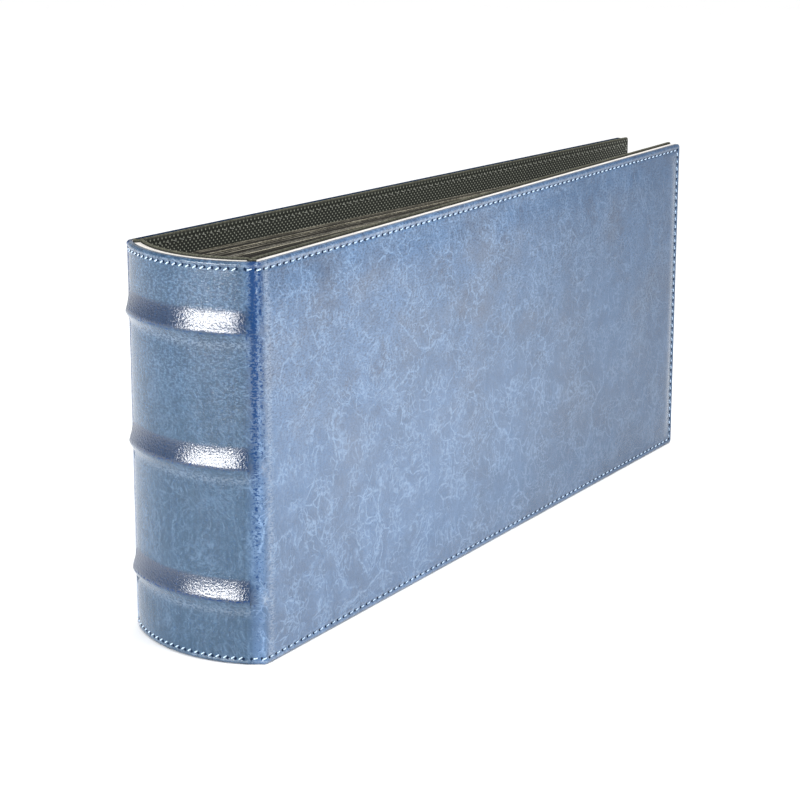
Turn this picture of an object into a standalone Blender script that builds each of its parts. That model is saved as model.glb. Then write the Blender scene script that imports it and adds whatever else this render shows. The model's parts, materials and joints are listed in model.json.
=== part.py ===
"""Padded landscape stamp album, standing on its tail edges and slightly open.

Two padded covers hinge on the corners of a rounded spine with three raised bands.
Sixteen pocket leaves pivot in front of a block of guards that is glued inside the spine.
+X runs from the spine to the fore-edge, -Y is the front cover's side and +Z is up.
The origin is at the centre of the base.
"""

import math

import bmesh
import bpy

MM = 0.001

# Case: outer size, and the angle at which each cover leans inwards from the spine.
COVER_HEIGHT = 132.0 * MM
COVER_LENGTH = 290.0 * MM
SPINE_WIDTH = 58.0 * MM
SPINE_RISE = 9.8 * MM
FRONT_TAPER = math.radians(3.6)
BACK_TAPER = math.radians(1.75)
CORNER_RADIUS = 1.2 * MM
SMALLEST_RADIUS = 0.4 * MM
HINGE_CORNER_RADIUS = 0.2 * MM

# Layers of the case, from the outside in, with a small air gap between them.
LEATHER = 1.2 * MM
BOARD = 2.6 * MM
LINING = 0.9 * MM
GAP = 0.3 * MM
CASE_THICKNESS = LEATHER + BOARD + LINING + 2 * GAP

# The lining stands a little above the board and the leather at the head.
LINING_HEAD = 0.8 * MM

# Padding: the leather stands proud of its sewn rim over a thin foam sheet.
PUFF = 1.0 * MM
PUFF_RIM = 3.4 * MM
PUFF_SLOPE = 4.6 * MM
PUFF_SHOULDER = 0.6
OUTER_SHOULDER_AT = 0.35
INNER_SHOULDER_AT = 0.45
INNER_FOOT_AT = 0.2
SOFT_EDGE = 0.3 * MM
PADDING = 0.7 * MM

# Joint between spine and cover: a strip of leather with no board behind it.
JOINT_STRIP = 4.6 * MM
LEATHER_START = 1.0 * MM
BOARD_START = 0.9 * MM

# Sewing thread, laid along the rim of the leather.
THREAD = 0.45 * MM
THREAD_INSET = 2.0 * MM
THREAD_LIFT = 0.1 * MM
THREAD_CORNER = 0.8 * MM

# Raised bands: card strips on the spine board, with the leather moulded over them.
BAND_RISE = 1.6 * MM
BAND_OFFSET = 44.0 * MM
BAND_HALF_WIDTH = 3.4 * MM
BAND_THICKNESS = 1.3 * MM
BAND_FOOT = 5.5 * MM

# Leaves and the guards that space them at the spine.
LEAF_COUNT = 16
LEAF_THICKNESS = 0.26 * MM
LEAF_MARGIN = 5.0 * MM
LEAF_CORNER = 1.5 * MM
LEAF_END = 284.0 * MM
LEAF_PITCH_AT_GUARD = 2.5 * MM
LEAF_PITCH_AT_EDGE = 0.34 * MM
LEAF_PIVOT_LEAD = 0.5 * MM
LEAF_START = 0.2 * MM
GUARD_END = 14.0 * MM
BLOCK_CLEARANCE = 0.8 * MM
BACKING = 0.8 * MM

# Smoothness of the curves.
ARC_STEPS = 16
CORNER_STEPS = 4
BAND_STEPS = 8
HOLLOW_STEPS = 6

# Places worked out from the sizes above.
HINGE_X = (SPINE_RISE + BAND_RISE - COVER_LENGTH * math.cos(BACK_TAPER)) / 2
HINGE_Y = SPINE_WIDTH / 2
SPINE_RADIUS = (HINGE_Y ** 2 + SPINE_RISE ** 2) / (2 * SPINE_RISE)
SPINE_CENTRE_X = HINGE_X + SPINE_RADIUS - SPINE_RISE
SPINE_HALF_ANGLE = math.asin(HINGE_Y / SPINE_RADIUS)
LEATHER_HALF_ANGLE = SPINE_HALF_ANGLE - LEATHER_START / SPINE_RADIUS
BOARD_HALF_ANGLE = SPINE_HALF_ANGLE - JOINT_STRIP / SPINE_RADIUS


def clear_scene():
    for item in list(bpy.data.objects):
        bpy.data.objects.remove(item, do_unlink=True)


def make_material(name, colour, roughness):
    material = bpy.data.materials.new(name)
    material.use_nodes = True
    shader = material.node_tree.nodes["Principled BSDF"]
    shader.inputs["Base Color"].default_value = (*colour, 1.0)
    shader.inputs["Roughness"].default_value = roughness
    shader.inputs["Metallic"].default_value = 0.0
    material.diffuse_color = (*colour, 1.0)
    return material


def make_hinge(name, x, y, turn):
    """An empty on a vertical hinge axis, turned to the rest direction of what hangs on it."""
    hinge = bpy.data.objects.new(name, None)
    bpy.context.collection.objects.link(hinge)
    hinge.location = (x, y, 0.0)
    hinge.rotation_euler = (0.0, 0.0, turn)
    return hinge


def loft(name, rings, material, parent=None):
    """One closed body: neighbouring rings are joined by quads and the end rings are filled."""
    mesh_data = bmesh.new()
    ring_verts = [[mesh_data.verts.new(point) for point in ring] for ring in rings]
    for near, far in zip(ring_verts, ring_verts[1:]):
        for i in range(len(near)):
            j = (i + 1) % len(near)
            mesh_data.faces.new((near[i], near[j], far[j], far[i]))
    mesh_data.faces.new(list(reversed(ring_verts[0])))
    mesh_data.faces.new(ring_verts[-1])
    bmesh.ops.recalc_face_normals(mesh_data, faces=mesh_data.faces)
    mesh = bpy.data.meshes.new(name)
    mesh_data.to_mesh(mesh)
    mesh_data.free()
    mesh.materials.append(material)
    mesh.shade_smooth()
    mesh.set_sharp_from_angle(angle=math.radians(30))
    piece = bpy.data.objects.new(name, mesh)
    bpy.context.collection.objects.link(piece)
    piece.parent = parent
    return piece


def panel_outline(start, end, bottom, top, radius):
    """Corner points of an upright panel as (along, up): square at its hinge, round at its far edge."""
    corners = (
        (start, bottom, HINGE_CORNER_RADIUS, math.pi),
        (end, bottom, radius, 1.5 * math.pi),
        (end, top, radius, 0.0),
        (start, top, HINGE_CORNER_RADIUS, 0.5 * math.pi),
    )
    outline = []
    for along, up, corner_radius, first in corners:
        centre_along = along + corner_radius if along == start else along - corner_radius
        centre_up = up + corner_radius if up == bottom else up - corner_radius
        for step in range(CORNER_STEPS + 1):
            angle = first + 0.5 * math.pi * step / CORNER_STEPS
            outline.append((centre_along + corner_radius * math.cos(angle),
                            centre_up + corner_radius * math.sin(angle)))
    return outline


def cover_ring(side, start, inset, depth, head=0.0):
    """A ring round a cover panel. Depth counts from the outer rim towards the leaves.
    Head is how far the panel stands above the leather's top edge."""
    radius = max(CORNER_RADIUS - inset, SMALLEST_RADIUS)
    top = COVER_HEIGHT + head - inset
    outline = panel_outline(start + inset, COVER_LENGTH - inset, inset, top, radius)
    return [(along, -side * depth, up) for along, up in outline]


def make_cover_leather(name, side, material, hinge):
    """Leather tray: a flat sewn rim, a puffed field, and a shallow hollow behind the field."""
    plateau = PUFF_RIM + PUFF_SLOPE
    sections = (
        (plateau, LEATHER - PUFF),
        (PUFF_RIM + INNER_SHOULDER_AT * PUFF_SLOPE, LEATHER - PUFF_SHOULDER * PUFF),
        (PUFF_RIM + INNER_FOOT_AT * PUFF_SLOPE, LEATHER),
        (0.0, LEATHER),
        (0.0, SOFT_EDGE),
        (SOFT_EDGE, 0.0),
        (PUFF_RIM, 0.0),
        (PUFF_RIM + OUTER_SHOULDER_AT * PUFF_SLOPE, -PUFF_SHOULDER * PUFF),
        (plateau, -PUFF),
    )
    rings = [cover_ring(side, LEATHER_START, inset, depth) for inset, depth in sections]
    return loft(name, rings, material, hinge)


def make_cover_layer(name, side, start, inset, outer, thickness, material, hinge, head=0.0):
    rings = [cover_ring(side, start, inset, depth, head) for depth in (outer, outer + thickness)]
    return loft(name, rings, material, hinge)


def make_cover_thread(name, side, material, hinge):
    """One run of thread along the head, the fore-edge and the tail of a cover."""
    def run(inset):
        outline = panel_outline(LEATHER_START + inset, COVER_LENGTH - inset,
                                inset, COVER_HEIGHT - inset, THREAD_CORNER)
        return outline[CORNER_STEPS:-CORNER_STEPS]

    outer_run = run(THREAD_INSET - THREAD / 2)
    inner_run = run(THREAD_INSET + THREAD / 2)
    inner_run[0] = (outer_run[0][0], inner_run[0][1])
    inner_run[-1] = (outer_run[-1][0], inner_run[-1][1])
    loop = outer_run + list(reversed(inner_run))
    rings = [[(along, side * lift, up) for along, up in loop]
             for lift in (THREAD_LIFT, THREAD_LIFT + THREAD)]
    return loft(name, rings, material, hinge)


def make_cover(label, side, turn, materials):
    """All layers of one cover, on a hinge at its corner of the spine. Side is the sign of outwards."""
    hinge = make_hinge(f"{label}_cover_hinge", HINGE_X, side * HINGE_Y, turn)
    board_depth = LEATHER + GAP
    lining_depth = board_depth + BOARD + GAP
    pad_inset = PUFF_RIM + PUFF_SLOPE + GAP
    make_cover_leather(f"{label}_cover_leather", side, materials["leather"], hinge)
    make_cover_layer(f"{label}_cover_padding", side, LEATHER_START, pad_inset,
                     LEATHER - PADDING, PADDING, materials["padding"], hinge)
    make_cover_layer(f"{label}_cover_board", side, BOARD_START, 0.0,
                     board_depth, BOARD, materials["board"], hinge)
    make_cover_layer(f"{label}_cover_lining", side, BOARD_START, 0.0,
                     lining_depth, LINING, materials["lining"], hinge, LINING_HEAD)
    make_cover_thread(f"{label}_cover_thread", side, materials["thread"], hinge)


def spine_sweep(name, section, first_angle, last_angle, material):
    """Sweep a closed (radius, height) section round the spine's centre line."""
    rings = []
    for step in range(ARC_STEPS + 1):
        angle = first_angle + (last_angle - first_angle) * step / ARC_STEPS
        rings.append([(SPINE_CENTRE_X - radius * math.cos(angle), radius * math.sin(angle), height)
                      for radius, height in section])
    return loft(name, rings, material)


def rectangle_section(inner, outer, bottom, top):
    return [(inner, bottom), (outer, bottom), (outer, top), (inner, top)]


def half_oval(base, rise, centre, half_width):
    """Points of a half oval that stands on a radius, from its lower foot to its upper foot."""
    points = []
    for step in range(HOLLOW_STEPS + 1):
        angle = math.pi * step / HOLLOW_STEPS
        points.append((base + rise * math.sin(angle), centre - half_width * math.cos(angle)))
    return points


def band_heights():
    middle = COVER_HEIGHT / 2
    return (middle - BAND_OFFSET, middle, middle + BAND_OFFSET)


def make_spine_leather(material):
    """Leather of the spine, raised over the bands and hollowed behind each of them."""
    outer = [(SPINE_RADIUS, 0.0)]
    for centre in band_heights():
        for step in range(BAND_STEPS + 1):
            offset = BAND_FOOT * (2 * step / BAND_STEPS - 1)
            rise = BAND_RISE * math.cos(0.5 * math.pi * offset / BAND_FOOT) ** 2
            outer.append((SPINE_RADIUS + rise, centre + offset))
    outer.append((SPINE_RADIUS, COVER_HEIGHT))
    back = SPINE_RADIUS - LEATHER
    inner = [(back, 0.0)]
    for centre in band_heights():
        inner += half_oval(back, BAND_THICKNESS + GAP, centre, BAND_HALF_WIDTH + GAP)
    inner.append((back, COVER_HEIGHT))
    section = outer + list(reversed(inner))
    return spine_sweep("spine_leather", section, -LEATHER_HALF_ANGLE, LEATHER_HALF_ANGLE, material)


def make_raised_bands(material):
    for label, centre in zip(("bottom", "middle", "top"), band_heights()):
        section = half_oval(SPINE_RADIUS - LEATHER, BAND_THICKNESS, centre, BAND_HALF_WIDTH)
        spine_sweep(f"raised_band_{label}", section, -BOARD_HALF_ANGLE, BOARD_HALF_ANGLE, material)


def make_spine(materials):
    board_outer = SPINE_RADIUS - LEATHER - GAP
    board_inner = board_outer - BOARD
    lining_outer = board_inner - GAP
    lining_inner = lining_outer - LINING
    make_spine_leather(materials["leather"])
    make_raised_bands(materials["card"])
    spine_sweep("spine_board", rectangle_section(board_inner, board_outer, 0.0, COVER_HEIGHT),
                -BOARD_HALF_ANGLE, BOARD_HALF_ANGLE, materials["board"])
    lining_section = rectangle_section(lining_inner, lining_outer, 0.0, COVER_HEIGHT + LINING_HEAD)
    spine_sweep("spine_lining", lining_section,
                -BOARD_HALF_ANGLE, BOARD_HALF_ANGLE, materials["lining"])
    thread_inner = SPINE_RADIUS + THREAD_LIFT
    for label, centre in (("bottom", THREAD_INSET), ("top", COVER_HEIGHT - THREAD_INSET)):
        section = rectangle_section(thread_inner, thread_inner + THREAD,
                                    centre - THREAD / 2, centre + THREAD / 2)
        spine_sweep(f"spine_thread_{label}", section,
                    -LEATHER_HALF_ANGLE, LEATHER_HALF_ANGLE, materials["thread"])


def front_inner_face(x):
    """Y of the front cover's inner face at a distance x from the hinge line."""
    return -HINGE_Y + CASE_THICKNESS / math.cos(FRONT_TAPER) + x * math.tan(FRONT_TAPER)


def leaf_line(index):
    """Y of a leaf at its guard and at its fore-edge."""
    at_guard = front_inner_face(GUARD_END) + BLOCK_CLEARANCE + index * LEAF_PITCH_AT_GUARD
    at_edge = front_inner_face(LEAF_END) + BLOCK_CLEARANCE + index * LEAF_PITCH_AT_EDGE
    return at_guard, at_edge


def make_leaf(index, material):
    at_guard, at_edge = leaf_line(index)
    pivot_x = HINGE_X + GUARD_END + LEAF_PIVOT_LEAD
    reach = LEAF_END - GUARD_END - LEAF_PIVOT_LEAD
    outline = panel_outline(LEAF_START, math.hypot(reach, at_edge - at_guard),
                            LEAF_MARGIN, COVER_HEIGHT - LEAF_MARGIN, LEAF_CORNER)
    rings = [[(along, across, up) for along, up in outline]
             for across in (-LEAF_THICKNESS / 2, LEAF_THICKNESS / 2)]
    hinge = make_hinge(f"leaf_{index + 1:02d}_hinge", pivot_x, at_guard,
                       math.atan2(at_edge - at_guard, reach))
    return loft(f"leaf_{index + 1:02d}", rings, material, hinge)


def make_guard(index, back_radius, material):
    """A card strip between two leaves, from the block's backing to the leaves' pivots."""
    slit = LEAF_THICKNESS
    low = leaf_line(index)[0] + slit
    high = leaf_line(index + 1)[0] - slit
    front = HINGE_X + GUARD_END
    plan = [(front, low), (front, high)]
    for y in (high, low):
        plan.append((SPINE_CENTRE_X - math.sqrt(back_radius ** 2 - y ** 2), y))
    rings = [[(x, y, z) for x, y in plan] for z in (LEAF_MARGIN, COVER_HEIGHT - LEAF_MARGIN)]
    return loft(f"leaf_guard_{index + 1:02d}", rings, material)


def make_leaf_block(materials):
    """Backing strip glued in the spine, the guards on it, and the leaves in front of them."""
    backing_outer = SPINE_RADIUS - CASE_THICKNESS - GAP
    backing_inner = backing_outer - BACKING
    first_y = leaf_line(0)[0]
    last_y = leaf_line(LEAF_COUNT - 1)[0]
    section = rectangle_section(backing_inner, backing_outer,
                                LEAF_MARGIN, COVER_HEIGHT - LEAF_MARGIN)
    spine_sweep("block_backing", section, math.asin(first_y / backing_inner),
                math.asin(last_y / backing_inner), materials["cloth"])
    for index in range(LEAF_COUNT - 1):
        make_guard(index, backing_inner - GAP, materials["card"])
    for index in range(LEAF_COUNT):
        make_leaf(index, materials["leaf"])


def main():
    clear_scene()
    materials = {
        "leather": make_material("blue_leather", (0.17, 0.27, 0.47), 0.35),
        "padding": make_material("foam", (0.72, 0.70, 0.66), 0.9),
        "board": make_material("white_core_board", (0.78, 0.74, 0.70), 0.8),
        "lining": make_material("black_textile_lining", (0.035, 0.038, 0.030), 0.8),
        "thread": make_material("pale_blue_thread", (0.50, 0.64, 0.84), 0.6),
        "card": make_material("dark_card", (0.075, 0.070, 0.058), 0.8),
        "cloth": make_material("binding_cloth", (0.30, 0.28, 0.25), 0.9),
        "leaf": make_material("dark_leaf", (0.10, 0.092, 0.075), 0.5),
    }
    make_spine(materials)
    make_leaf_block(materials)
    make_cover("front", -1, FRONT_TAPER, materials)
    make_cover("back", 1, -BACK_TAPER, materials)


main()
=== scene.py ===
import json
import math

import bmesh
import bpy
import numpy as np
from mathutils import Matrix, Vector, noise


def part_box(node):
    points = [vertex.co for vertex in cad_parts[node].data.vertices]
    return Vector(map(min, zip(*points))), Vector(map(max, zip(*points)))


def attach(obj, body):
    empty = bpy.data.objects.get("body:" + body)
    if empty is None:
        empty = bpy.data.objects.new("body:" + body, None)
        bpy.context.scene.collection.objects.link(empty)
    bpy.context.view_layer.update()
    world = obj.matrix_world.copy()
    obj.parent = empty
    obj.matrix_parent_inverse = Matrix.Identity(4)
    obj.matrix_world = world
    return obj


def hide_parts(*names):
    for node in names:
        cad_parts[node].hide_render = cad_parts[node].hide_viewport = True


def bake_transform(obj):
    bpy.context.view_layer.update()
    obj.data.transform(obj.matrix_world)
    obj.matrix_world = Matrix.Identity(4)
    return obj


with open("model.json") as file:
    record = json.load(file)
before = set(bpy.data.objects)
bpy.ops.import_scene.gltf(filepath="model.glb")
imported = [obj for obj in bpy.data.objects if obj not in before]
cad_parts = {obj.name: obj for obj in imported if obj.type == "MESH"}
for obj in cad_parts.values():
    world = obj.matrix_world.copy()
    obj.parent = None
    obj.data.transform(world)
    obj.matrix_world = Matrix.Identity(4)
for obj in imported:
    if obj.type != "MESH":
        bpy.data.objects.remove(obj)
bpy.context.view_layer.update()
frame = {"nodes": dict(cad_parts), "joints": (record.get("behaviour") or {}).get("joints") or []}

# The padded stamp album's looks: marbled leatherette skins, sewn rims, raw board edges,
# woven lining and thin pocket leaves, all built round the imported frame.

MM = 0.001
FRAME_PIXELS = 800

# Sizes that the CAD part also has.
FRONT_TAPER = math.radians(3.6)
BACK_TAPER = math.radians(1.75)
COVER_LENGTH = 290.0 * MM
SPINE_RISE = 9.8 * MM
LEATHER = 1.2 * MM
BOARD = 2.6 * MM
LINING = 0.9 * MM
GAP = 0.3 * MM
CASE = LEATHER + BOARD + LINING + 2 * GAP
PUFF = 1.0 * MM
CORNER_RADIUS = 1.2 * MM
LINING_HEAD = 0.8 * MM
JOINT_STRIP = 4.6 * MM
BAND_RISE = 1.6 * MM
LEAF_THICKNESS = 0.26 * MM

# The leather's own shape: how far the case's corners are eased, and a raised band's two slopes.
CORNER_EASED = 1.8 * MM
BAND_ABOVE = 7.2 * MM
BAND_BELOW = 4.2 * MM

# At the head the leather's cut edge stands a hair above the board and reaches a little way over it.
LEATHER_HEAD = 0.25 * MM
HEAD_LIP = 0.5 * MM

# Sewing: the seam's distance from the cut edge, the thread's radius, and the needle holes.
STITCH_INSET = 2.1 * MM
STITCH_RADIUS = 0.21 * MM
COVER_PITCH = 3.4 * MM
SPINE_PITCH = 2.65 * MM
SPINE_HOLE_RISE = 0.2 * MM

HINGES = {j["name"]: Vector(j["pos_m"]) for j in frame["joints"]}
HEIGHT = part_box("front_cover_board")[1].z
HINGE_X = HINGES["front_cover_hinge"].x
HINGE_Y = HINGES["back_cover_hinge"].y
SPINE_RADIUS = (HINGE_Y ** 2 + SPINE_RISE ** 2) / (2 * SPINE_RISE)
SPINE_CENTRE = HINGE_X + SPINE_RADIUS - SPINE_RISE
HALF_SPINE = SPINE_RADIUS * math.asin(HINGE_Y / SPINE_RADIUS)

# The spine's needle holes are counted from its middle, a cover's from SEAM_START, and the fore-edge's
# from the tail seam.
SEAM_START = int((HALF_SPINE - JOINT_STRIP) / SPINE_PITCH) * SPINE_PITCH
EDGE_STITCHES = 41
EDGE_PITCH = (HEIGHT - 2 * STITCH_INSET) / EDGE_STITCHES
BAND_HEIGHTS = [sum((low.z, high.z)) / 2 for low, high in
                (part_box(f"raised_band_{label}") for label in ("bottom", "middle", "top"))]

# How far the covers and, in proportion, each leaf turn when the album is fully open.
FRONT_OPENS = math.radians(175)
FANNED = [0.47 - 0.03 * order for order in range(16)]

# Distance between neighbouring leaves at their hinges and at the fore-edge.
GUARD_PITCH = 2.5 * MM
EDGE_LEAF_PITCH = 0.34 * MM

# A leaf is a card between pocket films. Its starts are distances from its hinge. Each film has a side
# and its share of the room beside the card.
CARD_THICKNESS = 0.16 * MM
CARD_START = -9.0 * MM
POCKET_GAP = 0.1 * MM
POCKET_START = 5.0 * MM
POCKET_SHORTER = 1.5 * MM
EMPTY_POCKET = 0.15 * MM
POCKET_FILMS = ((-1, 0.79), (-1, 0.27), (1, 0.27), (1, 0.79))
POCKET_TRIMS = (0.3 * MM, 0.9 * MM, 0.1 * MM, 0.6 * MM)
SHEET_ROWS = 26

# Brightness of each leaf's edges: the block shows a few dark bands between paler ones.
LEAF_TONES = (0.9, 0.7, 0.05, 0.1, 0.9, 0.6, 0.8, 0.05, 0.1, 0.9, 0.5, 0.05, 0.7, 0.9, 0.1, 0.6)

# The pockets of leaves darker than this stop short at head and tail.
DARK_TONE = 0.2
DARK_LEAF_SINKS = 1.5 * MM

# Weld lines of a pocket: height above the floor, and distances from the leaf's hinge.
WELD_TAIL = 8.5 * MM
WELD_GUARD = 8.0 * MM
WELD_EDGE = 264.0 * MM

LEAF_NAMES = sorted(n for n in frame["nodes"] if n.startswith("leaf_") and "guard" not in n)
GUARD_NAMES = sorted(n for n in frame["nodes"] if n.startswith("leaf_guard_"))

# Colours of the leatherette, as linear red, green and blue.
NAVY = (0.031, 0.079, 0.165)
CLOUD_BLUE = (0.042, 0.107, 0.222)
PATCH_BLUE = (0.072, 0.149, 0.282)
DIM_NAVY = (0.020, 0.042, 0.090)
BROWN_GREY = (0.075, 0.090, 0.125)
# The spine's streaks are the leather's own; their tone, darker and greener than the covers, is painted
# shade.
SPINE_SHADE_DARK = (0.0062, 0.026, 0.049)
SPINE_SHADE_PALE = (0.0150, 0.042, 0.071)
PLUM_DARK = (0.021, 0.026, 0.050)
PLUM_LIGHT = (0.040, 0.048, 0.062)
GRAIN_VALLEY = (0.008, 0.026, 0.070)
# Painted shade for the bands' upper slopes.
SLOPE_SHADE_NAVY = (0.006, 0.016, 0.046)
# Painted shade for the joint crease and the bands' crests.
CREASE_SHADE_BLUE = (0.003, 0.027, 0.100)
# Pale wear and painted highlights.
WEAR_AND_HIGHLIGHT_PALE = (0.250, 0.295, 0.360)
# Painted shade where the covers are less polished.
LESS_POLISH_SHADE_NAVY = (0.020, 0.044, 0.088)
# Painted shade at the raw cut edge and in the needle holes.
EDGE_AND_HOLE_SHADE_NAVY = (0.006, 0.014, 0.034)
PALE_CRACKLE = (0.190, 0.305, 0.475)


# ---------------------------------------------------------------- materials

def node(tree, kind, inputs=None, **settings):
    """Add a shader node. An input's value is a number, a tuple, or the socket that feeds it."""
    made = tree.nodes.new(kind)
    for key, value in settings.items():
        setattr(made, key, value)
    for key, value in (inputs or {}).items():
        socket = made.inputs[key]
        if isinstance(value, bpy.types.NodeSocket):
            tree.links.new(value, socket)
        else:
            socket.default_value = value
    return made


def maths(tree, operation, a, b=0.0, clamp=False):
    made = node(tree, "ShaderNodeMath", {0: a, 1: b}, operation=operation, use_clamp=clamp)
    return made.outputs[0]


def times(tree, a, b):
    return maths(tree, "MULTIPLY", a, b)


def plus(tree, a, b):
    return maths(tree, "ADD", a, b)


def larger(tree, a, b):
    return maths(tree, "MAXIMUM", a, b)


def one_minus(tree, value):
    return maths(tree, "SUBTRACT", 1.0, value)


def apart(tree, a, b):
    """Distance between two values."""
    return maths(tree, "ABSOLUTE", maths(tree, "SUBTRACT", a, b))


def point_mask(tree, name):
    """A mask that the mesh code stores on the points."""
    return node(tree, "ShaderNodeAttribute", attribute_name=name).outputs["Fac"]


def bump(tree, height, strength, distance):
    made = node(tree, "ShaderNodeBump", {"Height": height, "Strength": strength, "Distance": distance})
    return made.outputs["Normal"]


def ramp(tree, value, low, high):
    """0 below low, 1 above high, smooth between."""
    made = node(tree, "ShaderNodeMapRange", {"Value": value, "From Min": low, "From Max": high},
                interpolation_type="SMOOTHSTEP")
    return made.outputs["Result"]


def mix(tree, factor, a, b):
    made = node(tree, "ShaderNodeMix", data_type="RGBA")
    for index, value in ((0, factor), (6, a), (7, b)):
        socket = made.inputs[index]
        if isinstance(value, bpy.types.NodeSocket):
            tree.links.new(value, socket)
        else:
            socket.default_value = (*value, 1.0) if index else value
    return made.outputs[2]


def noise_value(tree, at, scale, detail=2.0, roughness=0.5):
    made = node(tree, "ShaderNodeTexNoise", {"Vector": at, "Scale": scale, "Detail": detail,
                                             "Roughness": roughness})
    return made.outputs["Fac"]


def start_material(name):
    """A new material, its tree, its Principled shader and the flat-sheet position in millimetres."""
    material = bpy.data.materials.new(name)
    material.use_nodes = True
    tree = material.node_tree
    shader = tree.nodes["Principled BSDF"]
    sheet = node(tree, "ShaderNodeAttribute", attribute_name="sheet")
    at = node(tree, "ShaderNodeVectorMath", {0: sheet.outputs["Vector"], "Scale": 1000.0},
              operation="SCALE").outputs[0]
    return material, tree, shader, at


def object_millimetres(tree):
    where = node(tree, "ShaderNodeTexCoord")
    return node(tree, "ShaderNodeVectorMath", {0: where.outputs["Object"], "Scale": 1000.0},
                operation="SCALE").outputs[0]


def stretched(tree, at, scale, turn=0.0):
    return node(tree, "ShaderNodeMapping", {"Vector": at, "Scale": scale,
                                            "Rotation": (0.0, turn, 0.0)}).outputs[0]


def set_inputs(tree, shader, values):
    for key, value in values.items():
        if isinstance(value, bpy.types.NodeSocket):
            tree.links.new(value, shader.inputs[key])
        else:
            shader.inputs[key].default_value = value


def needle_holes(tree, at):
    """1 in the needle holes of the head, tail and fore-edge seams, 0 elsewhere."""
    split = node(tree, "ShaderNodeSeparateXYZ", {0: at})
    along = maths(tree, "ABSOLUTE", split.outputs["X"])
    up = split.outputs["Z"]
    inset = STITCH_INSET / MM
    start = SEAM_START / MM
    end = (HALF_SPINE + COVER_LENGTH) / MM - inset
    from_middle = apart(tree, up, HEIGHT / MM / 2)
    head_off = maths(tree, "SUBTRACT", from_middle, HEIGHT / MM / 2 - inset)
    on_cover = maths(tree, "GREATER_THAN", along, start - 0.01)
    spine_run = maths(tree, "PINGPONG", along, SPINE_PITCH / MM / 2)
    out_of_reach = 99.0
    spine_run = plus(tree, spine_run, times(tree, on_cover, out_of_reach))
    cover_run = maths(tree, "PINGPONG", maths(tree, "SUBTRACT", along, start), COVER_PITCH / MM / 2)
    cover_run = plus(tree, cover_run, times(tree, one_minus(tree, on_cover), out_of_reach))
    spine_off = maths(tree, "SUBTRACT", head_off, SPINE_HOLE_RISE / MM)
    edge_run = maths(tree, "PINGPONG", maths(tree, "SUBTRACT", up, inset), EDGE_PITCH / MM / 2)
    edge_off = maths(tree, "SUBTRACT", along, end)
    near = None
    for run, off in ((spine_run, spine_off), (cover_run, head_off), (edge_run, edge_off)):
        reach = maths(tree, "SQRT", plus(tree, times(tree, run, run), times(tree, off, off)))
        near = reach if near is None else maths(tree, "MINIMUM", near, reach)
    hole_inside, hole_rim = 0.40, 0.62
    return one_minus(tree, ramp(tree, near, hole_inside, hole_rim))


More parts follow.
